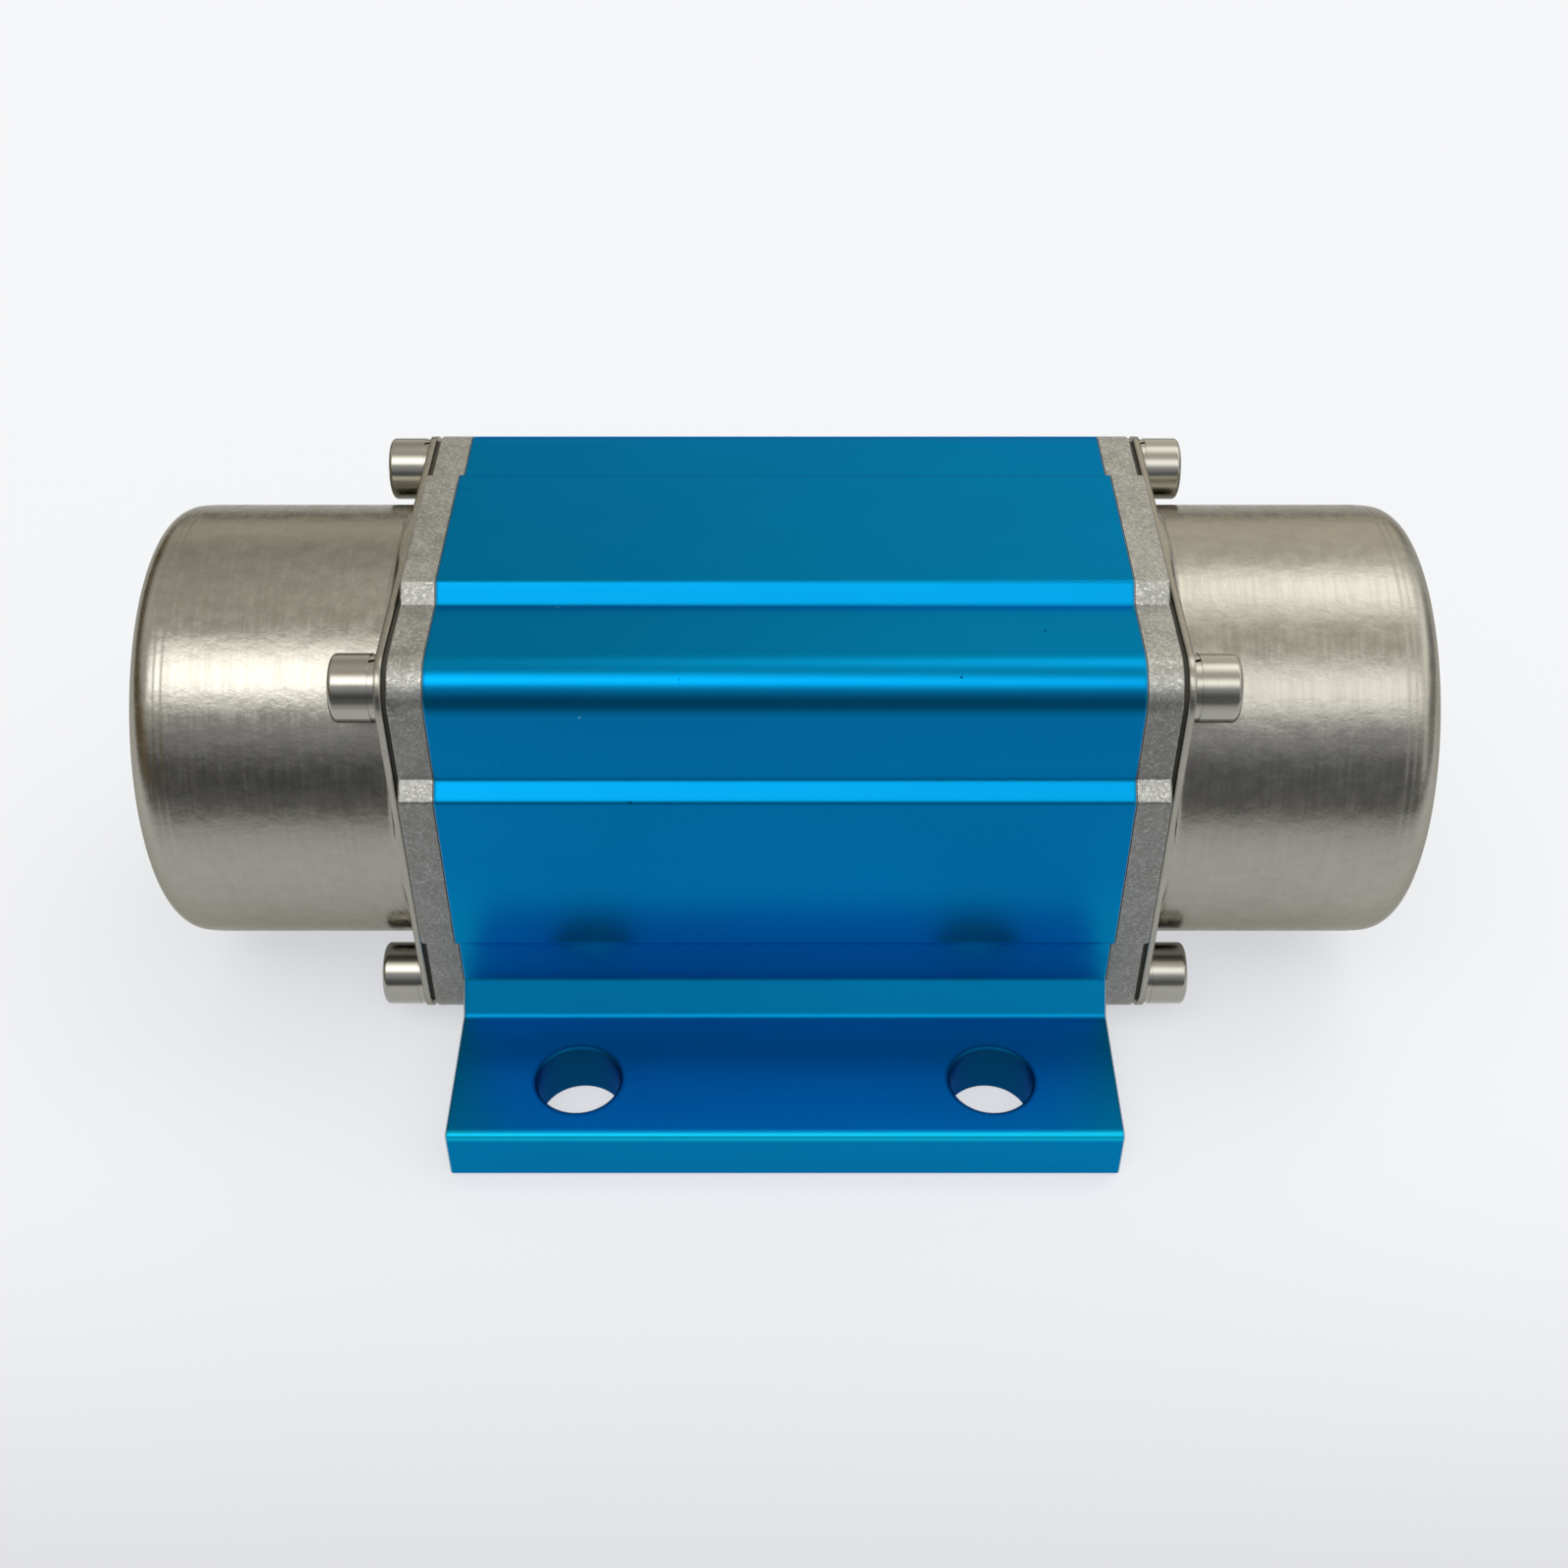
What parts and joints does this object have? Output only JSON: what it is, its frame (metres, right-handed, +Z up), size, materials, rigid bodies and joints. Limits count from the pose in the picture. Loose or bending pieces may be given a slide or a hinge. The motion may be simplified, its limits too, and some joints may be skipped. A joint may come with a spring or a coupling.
{
  "type": "vibration motor",
  "caption": "External vibration motor: blue extruded body with a bolt-down foot, cast end shields, and steel cups over adjustable eccentric weights on both shaft ends.",
  "frame": {"origin": "centre of the foot's underside", "axes": "+X along the shaft, +Y towards the side with the cable gland, +Z up"},
  "size_m": [0.136, 0.088, 0.0534],
  "materials": {
    "blue_anodised": "satin blue anodised, along the extrusion",
    "cast_aluminium": "grey die casting with a fine grain",
    "stainless_sheet": "brushed round the drawn wall, with a slight warm tint",
    "stainless_screw": "bright stainless steel",
    "gasket": "thin dark gasket sheet",
    "black_rubber": "black rubber",
    "lamination": "stacked electrical steel sheet",
    "insulation": "slot liner film",
    "copper": "varnished copper wire",
    "rotor_casting": "cast bars and rings",
    "ground_steel": "ground steel",
    "bearing_steel": "polished bearing steel",
    "cage_plastic": "moulded cage",
    "spring_steel": "blackened spring steel",
    "weight_steel": "sawn and turned steel",
    "black_screw": "black oxide",
    "nickel": "nickel plated brass"
  },
  "bodies": {
    "housing": {"body_extrusion": "blue_anodised", "left_end_shield": "cast_aluminium", "right_end_shield": "cast_aluminium", "stator_core": "lamination", "slot_insulation": "insulation", "stator_windings": "copper", "right_preload_spring": "spring_steel", "gland_washer": "black_rubber", "gland_body": "nickel", "gland_seal": "black_rubber", "gland_nut": "nickel", "left_shield_oring": "black_rubber", "left_cover_gasket": "gasket", "left_cover_cup": "stainless_sheet", "left_cover_screws": "stainless_screw", "left_spring_washers": "stainless_screw", "left_bearing_outer_ring": "bearing_steel", "left_bearing_seals": "black_rubber", "right_shield_oring": "black_rubber", "right_cover_gasket": "gasket", "right_cover_cup": "stainless_sheet", "right_cover_screws": "stainless_screw", "right_spring_washers": "stainless_screw", "right_bearing_outer_ring": "bearing_steel", "right_bearing_seals": "black_rubber"},
    "rotor": {"shaft": "ground_steel", "rotor_core": "lamination", "rotor_cage": "rotor_casting", "left_bearing_inner_ring": "bearing_steel", "left_spacer_sleeve": "ground_steel", "left_inner_weight": "weight_steel", "left_weight_key": "ground_steel", "left_retaining_ring": "spring_steel", "right_bearing_inner_ring": "bearing_steel", "right_spacer_sleeve": "ground_steel", "right_inner_weight": "weight_steel", "right_weight_key": "ground_steel", "right_retaining_ring": "spring_steel"},
    "left_outer_weight": {"left_outer_weight": "weight_steel", "left_clamp_screw": "black_screw"},
    "left_ball_cage": {"left_bearing_ball_cage": "cage_plastic", "left_bearing_balls": "bearing_steel"},
    "right_outer_weight": {"right_outer_weight": "weight_steel", "right_clamp_screw": "black_screw"},
    "right_ball_cage": {"right_bearing_ball_cage": "cage_plastic", "right_bearing_balls": "bearing_steel"}
  },
  "joints": [
    {"name": "rotor_spin", "type": "hinge", "parent": "housing", "child": "rotor", "pos_m": [0, 0, 0.0272], "axis": [1, 0, 0], "continuous": true},
    {"name": "left_weight_adjust", "type": "hinge", "parent": "rotor", "child": "left_outer_weight", "pos_m": [0, 0, 0.0272], "axis": [1, 0, 0], "range_deg": [0, 180]},
    {"name": "left_cage_spin", "type": "hinge", "parent": "housing", "child": "left_ball_cage", "pos_m": [0, 0, 0.0272], "axis": [1, 0, 0], "continuous": true},
    {"name": "right_weight_adjust", "type": "hinge", "parent": "rotor", "child": "right_outer_weight", "pos_m": [0, 0, 0.0272], "axis": [1, 0, 0], "range_deg": [0, 180]},
    {"name": "right_cage_spin", "type": "hinge", "parent": "housing", "child": "right_ball_cage", "pos_m": [0, 0, 0.0272], "axis": [1, 0, 0], "continuous": true}
  ],
  "couplings": [
    {"joint": "left_cage_spin", "follows": "rotor_spin", "ratio": 0.3677},
    {"joint": "right_cage_spin", "follows": "rotor_spin", "ratio": 0.3677}
  ]
}
